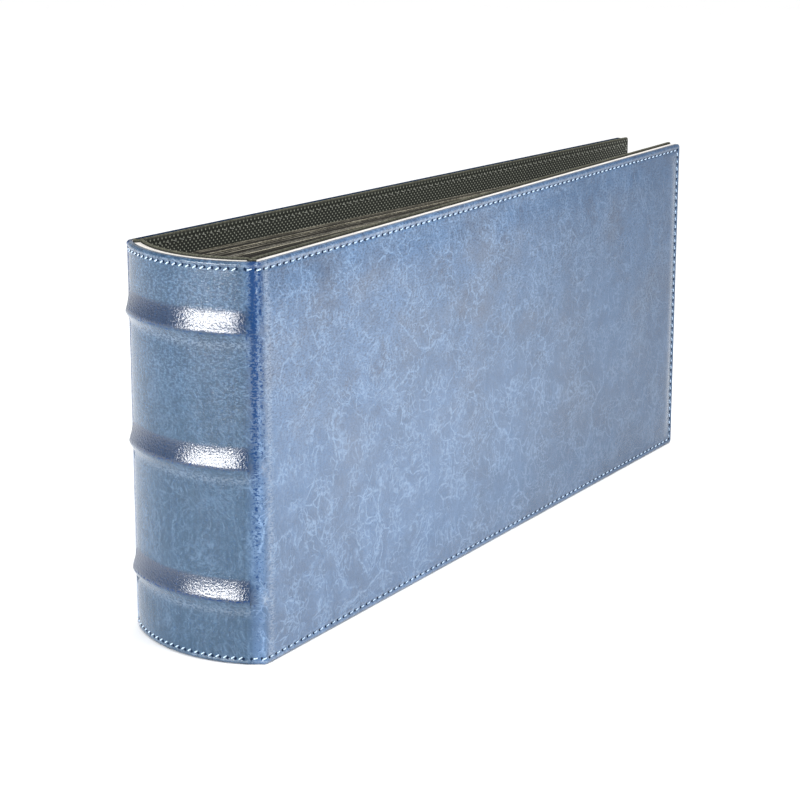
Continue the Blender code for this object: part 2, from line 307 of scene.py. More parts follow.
def leather_material():
    """Marbled glossy leatherette: navy ground, clouded blue, brown-grey patches, pale crackle."""
    material, tree, shader, at = start_material("marbled_leatherette")
    drift = node(tree, "ShaderNodeTexNoise", {"Vector": at, "Scale": 0.045, "Detail": 3.0})
    drift_by = node(tree, "ShaderNodeVectorMath",
                    {0: drift.outputs["Color"], 1: (-0.5, -0.5, -0.5)}, operation="ADD").outputs[0]
    drift_far = node(tree, "ShaderNodeVectorMath", {0: drift_by, "Scale": 24.0},
                     operation="SCALE").outputs[0]
    bent = node(tree, "ShaderNodeVectorMath", {0: at, 1: drift_far}, operation="ADD").outputs[0]

    spine = point_mask(tree, "spine")
    on_cover = one_minus(tree, spine)
    height = node(tree, "ShaderNodeSeparateXYZ", {0: at}).outputs["Z"]
    worn = plus(tree, ramp(tree, height, 30.0, 130.0),
                times(tree, noise_value(tree, at, 0.018, 4.0, 0.6), 1.5))
    worn = ramp(tree, worn, 0.75, 1.65)

    cloud = noise_value(tree, at, 0.020, 4.0, 0.55)
    mottle = noise_value(tree, bent, 0.10, 6.0, 0.66)
    colour = mix(tree, ramp(tree, cloud, 0.36, 0.62), NAVY, CLOUD_BLUE)
    patches = times(tree, ramp(tree, mottle, 0.42, 0.76), 0.75)
    colour = mix(tree, patches, colour, PATCH_BLUE)
    dim = noise_value(tree, bent, 0.055, 5.0, 0.7)
    dim = times(tree, ramp(tree, dim, 0.50, 0.66), plus(tree, 0.25, worn))
    colour = mix(tree, maths(tree, "MULTIPLY", dim, 0.5, True), colour, DIM_NAVY)
    brown = noise_value(tree, stretched(tree, at, (0.020, 1.0, 0.026), 0.5), 1.0, 5.0, 0.62)
    higher = plus(tree, 0.10, times(tree, ramp(tree, height, 15.0, 95.0), 0.5))
    brown = times(tree, ramp(tree, brown, 0.46, 0.68), higher)
    colour = mix(tree, brown, colour, BROWN_GREY)
    # The spine gets its own streaked tone: the streaks are the leather's, the darker tone is painted
    # shade.
    streaks = noise_value(tree, stretched(tree, at, (0.8, 1.0, 0.03)), 1.0, 4.0, 0.7)
    spine_shade_tone = mix(tree, ramp(tree, streaks, 0.35, 0.65), SPINE_SHADE_DARK, SPINE_SHADE_PALE)
    colour = mix(tree, times(tree, spine, 0.8), colour, spine_shade_tone)
    across = node(tree, "ShaderNodeSeparateXYZ", {0: at}).outputs["Y"]
    far_side = times(tree, ramp(tree, across, 5.0, 25.0), spine)
    plum = mix(tree, ramp(tree, mottle, 0.40, 0.64), PLUM_DARK, PLUM_LIGHT)
    colour = mix(tree, times(tree, far_side, 0.97), colour, plum)

    # Creases from long folds down to the finest crackle.
    creases = None
    for scale, width, shown, strength in ((0.022, 0.018, 0.47, 0.62), (0.055, 0.040, 0.49, 0.50),
                                          (0.15, 0.09, 0.46, 0.60), (0.38, 0.16, 0.44, 0.48)):
        cells = node(tree, "ShaderNodeTexVoronoi", {"Vector": bent, "Scale": scale},
                     feature="DISTANCE_TO_EDGE")
        line = one_minus(tree, ramp(tree, cells.outputs["Distance"], 0.0, width))
        where = ramp(tree, noise_value(tree, at, 0.024 + scale / 4, 4.0), shown, shown + 0.12)
        line = times(tree, times(tree, line, where), strength)
        creases = line if creases is None else larger(tree, creases, line)
    fibres = noise_value(tree, stretched(tree, bent, (0.95, 1.0, 0.20), 0.2), 1.0, 5.0, 0.75)
    fibres = times(tree, ramp(tree, fibres, 0.48, 0.78), 0.34)
    clearer = plus(tree, 0.3, times(tree, on_cover, 0.7))
    creases = times(tree, creases, clearer)
    broken = ramp(tree, noise_value(tree, at, 0.7, 3.0, 0.6), 0.32, 0.56)
    creases = times(tree, creases, broken)
    colour = mix(tree, larger(tree, creases, fibres), colour, PALE_CRACKLE)

    # Pebble grain: pale tops and dark valleys, strongest where the leather is worn.
    grain = noise_value(tree, stretched(tree, at, (0.85, 1.0, 1.5)), 1.0, 4.0, 0.72)
    valleys = one_minus(tree, ramp(tree, grain, 0.34, 0.52))
    strong = plus(tree, 0.22, times(tree, worn, 0.60))
    colour = mix(tree, times(tree, valleys, strong), colour, GRAIN_VALLEY)
    tops = ramp(tree, grain, 0.50, 0.68)
    strong = plus(tree, 0.10, times(tree, worn, 0.34))
    colour = mix(tree, times(tree, tops, strong), colour, PALE_CRACKLE)
    # Painted shade: the bands' upper slopes are darkened to deep navy, standing in for the dark
    # surroundings they reflect.
    slope = point_mask(tree, "slope")
    colour = mix(tree, times(tree, slope, 0.8), colour, SLOPE_SHADE_NAVY)

    # Painted shade, deep blue: in the joint crease between spine and cover, strongest at the head, and in
    # a thin line under each band's crest; the grain breaks it up.
    crease_shade = point_mask(tree, "crease_shade")
    crumbled = times(tree, maths(tree, "SUBTRACT", grain, 0.5), 4.2)
    deep = ramp(tree, plus(tree, crease_shade, crumbled), 0.32, 0.80)
    colour = mix(tree, deep, colour, CREASE_SHADE_BLUE)
    # Pale wear and painted light: painted highlights past the joint and on the rim, a painted glint where
    # each band meets the corner, a painted reflection in a pale line below each band, and a pale band
    # near the fore-edge that is part wear, part painted highlight; the grain breaks it up.
    wear_and_highlight = point_mask(tree, "wear_and_highlight")
    wear_and_highlight = times(tree, wear_and_highlight, ramp(tree, grain, 0.38, 0.62))
    colour = mix(tree, times(tree, wear_and_highlight, 0.62), colour, WEAR_AND_HIGHLIGHT_PALE)
    # Painted shade: where the polish is lower on the covers, towards the fore-edge and in the joint
    # strip, the colour is darkened too.
    polish = point_mask(tree, "polish")
    less_polish_shade = times(tree, maths(tree, "SUBTRACT", 1.0, polish, True), on_cover)
    colour = mix(tree, times(tree, less_polish_shade, 0.9), colour, LESS_POLISH_SHADE_NAVY)
    # Painted shade in the groove along the leather's raw cut edge and in the needle holes.
    cut_edge_shade = point_mask(tree, "cut_edge_shade")
    dark = larger(tree, times(tree, cut_edge_shade, 0.9), needle_holes(tree, at))
    colour = mix(tree, dark, colour, EDGE_AND_HOLE_SHADE_NAVY)

    pebbles = node(tree, "ShaderNodeTexVoronoi", {"Vector": at, "Scale": 1.5, "Smoothness": 0.7},
                   feature="SMOOTH_F1")
    relief = plus(tree, times(tree, pebbles.outputs["Distance"], -0.5), times(tree, grain, 0.8))
    relief = plus(tree, relief, times(tree, creases, -0.4))
    relief = plus(tree, relief, noise_value(tree, at, 1.5, 2.0, 0.5))
    normal = bump(tree, relief, 0.6, 0.00014)
    matt = larger(tree, dark, cut_edge_shade)
    matt = larger(tree, matt, times(tree, deep, 0.80))
    matt = larger(tree, matt, times(tree, far_side, 0.55))
    shaded = times(tree, ramp(tree, across, -3.0, 9.0), slope)
    matt = larger(tree, matt, times(tree, shaded, 0.85))
    shine = times(tree, one_minus(tree, matt), polish)
    set_inputs(tree, shader, {
        "Base Color": colour,
        "Roughness": plus(tree, 0.06, times(tree, mottle, 0.08)),
        "Specular IOR Level": times(tree, shine, 0.52),
        "Coat Weight": times(tree, shine, 0.5),
        "Coat Roughness": 0.05,
        "Normal": normal,
        "Coat Normal": normal,
    })
    return material


def board_material():
    """Raw cut edge of the white core: warm white, faintly layered and fibrous."""
    material, tree, shader, _ = start_material("raw_white_board")
    at = object_millimetres(tree)
    layers = noise_value(tree, stretched(tree, at, (0.12, 3.2, 0.12)), 1.0, 3.0, 0.6)
    fibres = noise_value(tree, at, 1.4, 5.0, 0.7)
    colour = mix(tree, ramp(tree, layers, 0.35, 0.7), (0.50, 0.47, 0.44), (0.70, 0.68, 0.65))
    colour = mix(tree, times(tree, ramp(tree, fibres, 0.5, 0.8), 0.5), colour,
                 (0.42, 0.38, 0.34))
    normal = bump(tree, fibres, 0.5, 0.0002)
    set_inputs(tree, shader, {"Base Color": colour, "Roughness": 0.82, "Normal": normal})
    return material


def lining_material():
    """Black textile with an embossed diagonal grid of pale dots, 1.3 mm apart."""
    material, tree, shader, at = start_material("black_woven_lining")
    turned = stretched(tree, at, (1.0, 1.0, 1.0), math.radians(45))
    split = node(tree, "ShaderNodeSeparateXYZ", {0: turned})
    pitch = 1.3
    waves = []
    for axis in ("X", "Z"):
        angle = times(tree, split.outputs[axis], 2 * math.pi / pitch)
        waves.append(times(tree, plus(tree, maths(tree, "SINE", angle), 1.0), 0.5))
    dots = times(tree, waves[0], waves[1])
    fray = noise_value(tree, at, 1.8, 4.0, 0.7)
    tone = noise_value(tree, at, 0.03, 3.0)
    rim = point_mask(tree, "rim")
    lit = ramp(tree, plus(tree, dots, times(tree, fray, 0.35)), 0.70, 1.0)
    lit = times(tree, lit, one_minus(tree, rim))
    dark = mix(tree, tone, (0.010, 0.012, 0.009), (0.020, 0.022, 0.017))
    colour = mix(tree, times(tree, lit, 0.9), dark, (0.260, 0.270, 0.220))
    rim_tone = mix(tree, ramp(tree, fray, 0.35, 0.65), (0.022, 0.023, 0.015), (0.105, 0.104, 0.075))
    colour = mix(tree, rim, colour, rim_tone)
    height = plus(tree, dots, times(tree, fray, 0.4))
    normal = bump(tree, height, 0.7, 0.0003)
    set_inputs(tree, shader, {"Base Color": colour, "Roughness": 0.72, "Specular IOR Level": 0.25,
                              "Normal": normal})
    return material


def thread_material(name, colour):
    """Twisted two-ply thread: its twist runs along the stitch."""
    material, tree, shader, at = start_material(name)
    twist = node(tree, "ShaderNodeTexWave", {"Vector": at, "Scale": 0.9, "Distortion": 0.6},
                 bands_direction="DIAGONAL")
    shade = tuple(0.55 * c for c in colour)
    tint = mix(tree, ramp(tree, twist.outputs["Fac"], 0.1, 0.6), shade, colour)
    normal = bump(tree, twist.outputs["Fac"], 0.6, 0.0001)
    set_inputs(tree, shader, {"Base Color": tint, "Roughness": 0.5, "Sheen Weight": 0.3,
                              "Normal": normal})
    return material


def leaf_material():
    """Dark olive card, fibrous, paler along its cut edge."""
    material, tree, shader, at = start_material("dark_olive_card")
    fibres = noise_value(tree, stretched(tree, at, (0.5, 1.0, 1.4)), 1.0, 5.0, 0.7)
    specks = noise_value(tree, at, 0.9, 4.0, 0.7)
    colour = mix(tree, ramp(tree, fibres, 0.35, 0.7), (0.011, 0.010, 0.008), (0.028, 0.026, 0.020))
    edge = point_mask(tree, "edge")
    edge_tone = mix(tree, ramp(tree, specks, 0.40, 0.60), (0.10, 0.09, 0.06), (0.40, 0.375, 0.30))
    colour = mix(tree, edge, colour, edge_tone)
    normal = bump(tree, fibres, 0.3, 0.0001)
    set_inputs(tree, shader, {"Base Color": colour, "Roughness": 0.6, "Normal": normal})
    return material


def film_material():
    """Clear pocket film with faint scuffs; its edges read as pale olive lines."""
    material, tree, shader, at = start_material("clear_pocket_film")
    scuffs = noise_value(tree, stretched(tree, at, (0.05, 1.0, 0.9), 0.3), 1.0, 5.0, 0.7)
    specks = noise_value(tree, stretched(tree, at, (0.06, 1.4, 1.0)), 1.0, 4.0, 0.65)
    edge = point_mask(tree, "edge")
    face = mix(tree, scuffs, (0.10, 0.10, 0.085), (0.20, 0.20, 0.17))
    edge_tone = mix(tree, ramp(tree, specks, 0.36, 0.64), (0.090, 0.080, 0.052), (0.52, 0.48, 0.37))
    tone = point_mask(tree, "tone")
    edge_tone = mix(tree, tone, (0.016, 0.014, 0.010), edge_tone)
    clear = plus(tree, 0.05, times(tree, ramp(tree, scuffs, 0.5, 0.8), 0.08))
    # The pockets are welded along the tail, at the guard and at the fore-edge, and open at the head.
    place = node(tree, "ShaderNodeSeparateXYZ", {0: at})
    from_tail = apart(tree, place.outputs["Z"], WELD_TAIL / MM)
    from_guard = apart(tree, place.outputs["X"], WELD_GUARD / MM)
    from_edge = apart(tree, place.outputs["X"], WELD_EDGE / MM)
    nearest = maths(tree, "MINIMUM", maths(tree, "MINIMUM", from_tail, from_guard), from_edge)
    weld = one_minus(tree, ramp(tree, nearest, 0.35, 0.75))
    diagonal = plus(tree, place.outputs["X"], place.outputs["Z"])
    dimples = maths(tree, "SINE", times(tree, diagonal, 7.0))
    weld = times(tree, weld, ramp(tree, dimples, -0.6, 0.4))
    clear = larger(tree, clear, times(tree, weld, 0.35))
    alpha = larger(tree, edge, clear)
    normal = bump(tree, scuffs, 0.2, 0.0003)
    set_inputs(tree, shader, {"Base Color": mix(tree, edge, face, edge_tone), "Alpha": alpha,
                              "Roughness": 0.16, "Coat Weight": 0.5, "Coat Roughness": 0.08,
                              "Normal": normal})
    return material


def guard_material():
    """Folded card guards: many thin plies side by side."""
    material, tree, shader, _ = start_material("folded_card_guards")
    at = object_millimetres(tree)
    split = node(tree, "ShaderNodeSeparateXYZ", {0: at})
    plies = maths(tree, "SINE", times(tree, split.outputs["Y"], 2 * math.pi / 0.75))
    specks = noise_value(tree, at, 1.2, 4.0, 0.7)
    tone = ramp(tree, plus(tree, times(tree, plies, 0.35), specks), 0.25, 0.85)
    colour = mix(tree, tone, (0.022, 0.020, 0.015), (0.200, 0.184, 0.140))
    normal = bump(tree, plies, 0.7, 0.0002)
    set_inputs(tree, shader, {"Base Color": colour, "Roughness": 0.75, "Normal": normal})
    return material


def plain_fibre_material(name, low, high, scale):
    material, tree, shader, _ = start_material(name)
    at = object_millimetres(tree)
    fibres = noise_value(tree, at, scale, 5.0, 0.7)
    colour = mix(tree, ramp(tree, fibres, 0.35, 0.7), low, high)
    normal = bump(tree, fibres, 0.5, 0.0002)
    set_inputs(tree, shader, {"Base Color": colour, "Roughness": 0.85, "Normal": normal})
    return material


# ---------------------------------------------------------------- mesh building

def new_object(name, data):
    """A new object in the scene."""
    made = bpy.data.objects.new(name, data)
    bpy.context.scene.collection.objects.link(made)
    return made


def make_mesh(name, points, faces, material, sheet=None, marks=None):
    """A smooth closed mesh. sheet is each point's place on the flat sheet; marks are point masks."""
    mesh = bpy.data.meshes.new(name)
    mesh.from_pydata([tuple(p) for p in points], [], faces)
    work = bmesh.new()
    work.from_mesh(mesh)
    bmesh.ops.recalc_face_normals(work, faces=work.faces)
    work.to_mesh(mesh)
    work.free()
    flat = np.asarray(points if sheet is None else sheet, np.float32)
    stored = mesh.attributes.new("sheet", "FLOAT_VECTOR", "POINT")
    stored.data.foreach_set("vector", flat.ravel())
    for key, values in (marks or {}).items():
        mask = mesh.attributes.new(key, "FLOAT", "POINT")
        mask.data.foreach_set("value", np.asarray(values, np.float32).ravel())
    mesh.materials.append(material)
    mesh.shade_smooth()
    mesh.set_sharp_from_angle(angle=math.radians(50))
    return new_object(name, mesh)


def slab_faces(rows, columns):
    """Faces of a closed slab made of an outer and an inner grid of rows x columns points."""
    faces = []
    inner = rows * columns
    for i in range(rows - 1):
        for j in range(columns - 1):
            a = i * columns + j
            faces.append((a, a + 1, a + columns + 1, a + columns))
            b = inner + a
            faces.append((b, b + columns, b + columns + 1, b + 1))
    for i in range(rows - 1):
        for j in (0, columns - 1):
            a, b = i * columns + j, (i + 1) * columns + j
            faces.append((a, b, inner + b, inner + a))
    for j in range(columns - 1):
        for i in (0, rows - 1):
            a, b = i * columns + j, i * columns + j + 1
            faces.append((a, b, inner + b, inner + a))
    return faces


def make_slab(name, outer, inner, material, sheet, marks=None):
    """A closed slab between two (rows, columns, 3) grids of points."""
    rows, columns = outer.shape[:2]
    points = np.concatenate([outer.reshape(-1, 3), inner.reshape(-1, 3)])
    flat = np.concatenate([sheet.reshape(-1, 3), sheet.reshape(-1, 3)])
    doubled = {k: np.concatenate([v.ravel(), v.ravel()]) for k, v in (marks or {}).items()}
    return make_mesh(name, points, slab_faces(rows, columns), material, flat, doubled)


def smoothstep(value, low, high):
    t = np.clip((value - low) / (high - low), 0.0, 1.0)
    return t * t * (3 - 2 * t)


def lines(low, high, step, fine_low=(), fine_high=()):
    """Grid lines from low to high, with extra lines at given distances from either end."""
    start = low + (max(fine_low) if fine_low else 0.0)
    stop = high - (max(fine_high) if fine_high else 0.0)
    count = max(2, int(round((stop - start) / step)) + 1)
    middle = np.linspace(start, stop, count)
    ends = [low + d for d in fine_low] + [high - d for d in fine_high]
    return np.unique(np.round(np.concatenate([middle, ends]), 7))


# ---------------------------------------------------------------- shape of the case

def sharp_outline(along):
    """Plan position of the case's outer face at a signed distance along it from the spine's middle.
    The front cover is on the negative side."""
    along = np.asarray(along, float)
    side = np.where(along < 0, -1.0, 1.0)
    reach = np.abs(along)
    angle = np.minimum(reach, HALF_SPINE) / SPINE_RADIUS
    past = np.maximum(reach - HALF_SPINE, 0.0)
    taper = np.where(along < 0, FRONT_TAPER, BACK_TAPER)
    x = SPINE_CENTRE - SPINE_RADIUS * np.cos(angle) + past * np.cos(taper)
    y = side * (SPINE_RADIUS * np.sin(angle) - past * np.sin(taper))
    return np.stack([x, y], -1)


def outline(along):
    """The same line with its corners eased by averaging over a short stretch."""
    samples = np.linspace(-1, 1, 9)
    shifts = samples * CORNER_EASED
    weights = 1 - (samples * 0.9) ** 2
    weights = weights / weights.sum()
    return sum(w * sharp_outline(along + s) for w, s in zip(weights, shifts))


def outward(along):
    """Unit normal of the case's outer face, in plan."""
    step = 0.2 * MM
    d = outline(along + step) - outline(along - step)
    n = np.stack([-d[..., 1], d[..., 0]], -1)
    return n / np.linalg.norm(n, axis=-1, keepdims=True)


def on_case(along, up, lift):
    """Points of the case: lift is the distance out of its outer face."""
    flat = outline(along) + outward(along) * lift[..., None]
    return np.concatenate([flat, up[..., None]], -1)


def edge_distance(along, up):
    """Distance in from the cut edge: head, tail and fore-edge, with rounded fore-edge corners."""
    end = HALF_SPINE + COVER_LENGTH - np.abs(along)
    near_end = CORNER_RADIUS - end
    near_side = CORNER_RADIUS - np.minimum(up, HEIGHT - up)
    outside = np.hypot(np.maximum(near_end, 0), np.maximum(near_side, 0))
    inside = np.minimum(np.maximum(near_end, near_side), 0)
    return CORNER_RADIUS - outside - inside


def half_height(along):
    """Half the case's height at a place along it, less near the rounded fore-edge corners."""
    end = HALF_SPINE + COVER_LENGTH - np.abs(along)
    inwards = np.clip(CORNER_RADIUS - end, 0.0, CORNER_RADIUS)
    return HEIGHT / 2 - CORNER_RADIUS + np.sqrt(np.maximum(CORNER_RADIUS ** 2 - inwards ** 2, 0))


def undulation(along, up, size, seed):
    """Slow, slight waviness of the stretched skin, from -1 to 1."""
    values = np.empty(along.shape)
    for index in np.ndindex(along.shape):
        place = Vector((along[index] / size, seed, up[index] / size))
        values[index] = noise.noise(place)
    return values


def band_profile(up):
    """Height of the raised bands, from 0 to 1: a long slope above each crest and a short one below."""
    rise = np.zeros_like(up)
    for crest in BAND_HEIGHTS:
        above = np.clip((up - crest) / BAND_ABOVE, 0, 1)
        below = np.clip((crest - up) / BAND_BELOW, 0, 1)
        shape = np.where(up > crest, (1 - above) ** 1.4, 0.5 + 0.5 * np.cos(math.pi * below))
        shape = np.where((above >= 1) | (below >= 1), 0, shape)
        rise = np.maximum(rise, shape)
    return rise


def skin_lift(along, up):
    """How far the leather stands out of the case's outer face."""
    reach = np.abs(along)
    edge = edge_distance(along, up)
    past_joint = reach - HALF_SPINE
    rim = 0.16 * MM * np.exp(-((edge - 0.9 * MM) / (0.55 * MM)) ** 2)
    pinch = -0.20 * MM * np.exp(-((edge - STITCH_INSET) / (0.5 * MM)) ** 2)
    pinch = pinch * (0.15 + 0.85 * smoothstep(past_joint, -JOINT_STRIP, 0.0))
    rounding = -0.45 * MM * (1 - smoothstep(edge, 0.0, 0.55 * MM))
    field = smoothstep(edge, 2.1 * MM, 7.2 * MM)
    end = HALF_SPINE + COVER_LENGTH - reach
    near_side = np.minimum(up, HEIGHT - up)
    cover_field = smoothstep(near_side, 2.3 * MM, 15 * MM) * smoothstep(end, 2.3 * MM, 7.2 * MM)
    cover_puff = 0.8 * PUFF * cover_field * smoothstep(past_joint, 0.0, 5.0 * MM)
    spine_puff = 0.10 * MM * smoothstep(edge, 2.1 * MM, 16 * MM)
    spine_puff = spine_puff * (1 - smoothstep(past_joint, -JOINT_STRIP, 0.0))
    band = BAND_RISE * band_profile(up) * (1 - smoothstep(past_joint, -4.2 * MM, 0.4 * MM))
    middle_of_joint = (past_joint + 0.5 * JOINT_STRIP) / (0.5 * JOINT_STRIP)
    groove = -0.5 * MM * np.exp(-(middle_of_joint / 0.75) ** 2)
    waviness = 0.13 * MM * field * undulation(along, up, 38 * MM, 3.1)
    waviness = waviness + 0.05 * MM * field * undulation(along, up, 13 * MM, 8.4)
    return rim + pinch + rounding + cover_puff + spine_puff + band + groove + waviness


def bell(value, centre, width):
    return np.exp(-((value - centre) / width) ** 2)


def skin_marks(along, up):
    """Masks: painted shade in the joint crease and under the band crests, pale wear with painted
    highlights, painted shade at the raw cut edge, polish, slopes above the bands, and spine.
    """
    past_joint = np.abs(along) - HALF_SPINE
    edge = edge_distance(along, up)
    # Painted shade in the joint crease, growing towards the head, and on the cover just past the joint.
    shade_towards_head = 0.14 + 0.96 * up / HEIGHT
    crease_shade = np.maximum(shade_towards_head * bell(past_joint, -0.5 * JOINT_STRIP, 0.34 * JOINT_STRIP),
                      0.60 * shade_towards_head * bell(past_joint, 0.2 * MM, 1.9 * MM))
    # A painted highlight on the cover's puffed edge just past the joint.
    wear_and_highlight = 0.9 * bell(past_joint, 2.9 * MM, 1.3 * MM)
    on_spine = 1 - smoothstep(past_joint, -5.0 * MM, -1.0 * MM)
    slope = np.zeros_like(up)
    for crest in BAND_HEIGHTS:
        # Painted shade in a thin line under each band's crest.
        crease_shade = np.maximum(crease_shade, 0.75 * bell(up, crest - 0.35 * MM, 0.40 * MM) * on_spine)
        slope = np.maximum(slope, smoothstep(up, crest - 0.5 * MM, crest) * on_spine
                           * (1 - smoothstep(up, crest + 0.85 * BAND_ABOVE, crest + BAND_ABOVE)))
        # A painted glint where each band meets the corner, and a painted reflection in a pale line at the
        # foot of each band.
        corner = bell(past_joint, 0.4 * MM, 1.1 * MM)
        wear_and_highlight = np.maximum(wear_and_highlight, 2.0 * corner * bell(up, crest + 1.0 * MM, 1.3 * MM))
        wear_and_highlight = np.maximum(wear_and_highlight, 0.45 * bell(up, crest - BAND_BELOW, 1.2 * MM) * on_spine)
    # A painted highlight along the rounded rim between the cut edge and the seam.
    wear_and_highlight = np.maximum(wear_and_highlight, 0.6 * bell(edge, 1.15 * MM, 0.4 * MM))
    # Near the fore-edge a pale band: part wear, part painted highlight on the padding's roll-off.
    end = HALF_SPINE + COVER_LENGTH - np.abs(along)
    inside = (up > 4 * MM) * (HEIGHT - up > 4 * MM)
    wear_and_highlight = np.maximum(wear_and_highlight, 1.5 * bell(end, 6.0 * MM, 2.2 * MM) * inside)
    # Painted shade along the raw cut edge: dark on the back cover and only a little darker elsewhere.
    at_back = smoothstep(along - HALF_SPINE, -3 * MM, 3 * MM)
    cut_edge_shade = (0.25 + 0.75 * at_back) * (1 - smoothstep(edge, 0.2 * MM, (0.6 + 0.5 * at_back) * MM))
    # Polish sets the gloss. On the covers it falls towards the fore-edge, and the leather's colour is
    # darkened with it as painted shade.
    polish = 1 - 0.60 * smoothstep(past_joint, 50 * MM, COVER_LENGTH)
    before_joint = 1 - smoothstep(past_joint, -10 * MM, -4 * MM)
    polish = polish * (0.62 + 0.38 * smoothstep(past_joint, -5 * MM, 0.0)) + 0.50 * slope * before_joint
    return {"crease_shade": crease_shade, "wear_and_highlight": wear_and_highlight, "cut_edge_shade": cut_edge_shade, "polish": polish, "slope": slope,
            "spine": 1 - smoothstep(past_joint, -5.5 * MM, -3.0 * MM)}


EDGE_LINES = [distance * MM for distance in
              (0, 0.12, 0.3, 0.55, 0.9, 1.25, 1.6, 2.0, 2.4, 2.9, 3.6, 4.5, 5.6, 7.0, 9.0)]
JOINT_LINES = [distance * MM for distance in
               (0, 0.6, 1.2, 1.8, 2.4, 3.0, 3.6, 4.1, 4.6, 5.1, 5.7, 6.4, 7.2, 8.2, 9.4, 11.0)]


def sheet_grid(along_lines, up_lines):
    """Grid of (along, up), drawn in at the rounded fore-edge corners."""
    along = np.repeat(along_lines[:, None], len(up_lines), 1)
    share = up_lines / HEIGHT * 2 - 1
    up = HEIGHT / 2 + half_height(along) * share[None, :]
    return along, up


def raised(up, head):
    """Heights with the top few millimetres stretched up by head."""
    return up + head * smoothstep(up, HEIGHT - 3 * MM, HEIGHT)


def make_skin(name, along_lines, up_step, material):
    along, up = sheet_grid(along_lines, lines(0.0, HEIGHT, up_step, EDGE_LINES, EDGE_LINES))
    lift = skin_lift(along, up)
    top = raised(up, LEATHER_HEAD)
    outer = on_case(along, top, lift)
    # At the head the leather's edge reaches a little way over the board.
    lip = LEATHER + HEAD_LIP * (HEIGHT - up < 0.2 * MM)
    inner = on_case(along, top, np.maximum(lift - 0.9 * LEATHER - lip + LEATHER, -lip))
    sheet = np.stack([along, np.zeros_like(along), up], -1)
    return make_slab(name, outer, inner, material, sheet, skin_marks(along, up))


# ---------------------------------------------------------------- sewing

def seam_runs(side, start=0.0):
    """Needle holes of a cover's head, fore-edge and tail seams: (along, up, step along, step up)."""
    end = HALF_SPINE + COVER_LENGTH - STITCH_INSET
    count = int((end - SEAM_START) / COVER_PITCH)
    run = SEAM_START + COVER_PITCH * np.arange(count)
    run = side * run[run > start]
    rise = STITCH_INSET + EDGE_PITCH * np.arange(EDGE_STITCHES)
    top, bottom = np.full(len(run), HEIGHT - STITCH_INSET), np.full(len(run), STITCH_INSET)
    return [(run, top, side, 0.0), (np.full(len(rise), side * end), rise, 0.0, 1.0),
            (run, bottom, side, 0.0)]


def make_stitches(name, runs, material, depth=None, slant=0.2, length=1.7 * MM, offset=1.2 * MM):
    """Rows of separate stitches, each centred the given offset past its needle hole.
    depth is None on the leather, or the lining face's distance from the case's outer face."""
    rings, sides = 7, 8
    share = np.linspace(-1, 1, rings)
    body = STITCH_RADIUS * np.sqrt(np.maximum(1 - (0.93 * share) ** 4, 0.0))
    arch = 0.20 * MM * (1 - share ** 2) - 0.12 * MM * share ** 6
    angles = np.arange(sides) * 2 * math.pi / sides
    local = np.zeros((rings, sides, 3))
    local[..., 0] = (share * length / 2)[:, None]
    local[..., 1] = body[:, None] * np.cos(angles)
    local[..., 2] = arch[:, None] + 0.8 * body[:, None] * np.sin(angles)
    local = local.reshape(-1, 3)
    ring_faces = [(r * sides + i, r * sides + (i + 1) % sides, (r + 1) * sides + (i + 1) % sides,
                   (r + 1) * sides + i) for r in range(rings - 1) for i in range(sides)]
    ring_faces.append(tuple(reversed(range(sides))))
    ring_faces.append(tuple(range((rings - 1) * sides, rings * sides)))
    points, faces, flat = [], [], []
    for along, up, step_along, step_up in runs:
        along, up = along + offset * step_along, up + offset * step_up
        lift = skin_lift(along, up) if depth is None else np.full(along.shape, -depth)
        centre = on_case(along, up, lift)
        ahead = on_case(along + 0.3 * MM * step_along, up + 0.3 * MM * step_up, lift)
        forward = ahead - centre
        forward /= np.linalg.norm(forward, axis=1, keepdims=True)
        normal = np.concatenate([outward(along), np.zeros((len(along), 1))], 1)
        normal *= 1.0 if depth is None else -1.0
        across = np.cross(normal, forward)
        turned = forward * math.cos(slant) + across * math.sin(slant)
        sideways = np.cross(normal, turned)
        for k in range(len(along)):
            base = len(points)
            points.extend(centre[k] + local[:, 0:1] * turned[k] + local[:, 1:2] * sideways[k]
                          + local[:, 2:3] * normal[k])
            flat.extend(local + (along[k], 0.0, up[k]))
            faces.extend(tuple(base + v for v in face) for face in ring_faces)
    return make_mesh(name, np.array(points), faces, material, np.array(flat))


# ---------------------------------------------------------------- leaves

def sheet_slab(pivot, direction, reach, low, high, bow, thickness):
    """Points, flat positions and edge mask of a thin upright sheet from a pivot, bowed sideways by
    bow(distance, height). reach is (start, end), and thickness a function of the distance."""
    across = np.array([-direction[1], direction[0], 0.0])
    forward = np.array([direction[0], direction[1], 0.0])
    fine = (0, 0.4 * MM)
    along_lines = lines(reach[0], reach[1], (reach[1] - reach[0]) / SHEET_ROWS, fine, fine)
    finer = (0, 0.15 * MM, 1.0 * MM)
    up_lines = lines(low, high, 14 * MM, finer, finer)
    along, up = np.meshgrid(along_lines, up_lines, indexing="ij")
    shift = bow(along, up)
    base = np.array([pivot.x, pivot.y, 0.0])
    middle = base + forward * along[..., None] + across * shift[..., None]
    middle[..., 2] = up
    half = across * thickness(along)[..., None] / 2
    sheet = np.stack([along, np.full_like(along, pivot.y) + shift.mean(), up], -1)
    edge = np.where((np.abs(up - low) < 0.1 * MM) | (np.abs(up - high) < 0.1 * MM)
                    | (np.abs(along - reach[1]) < 0.1 * MM), 1.0, 0.0)
    return middle + half, middle - half, sheet, edge


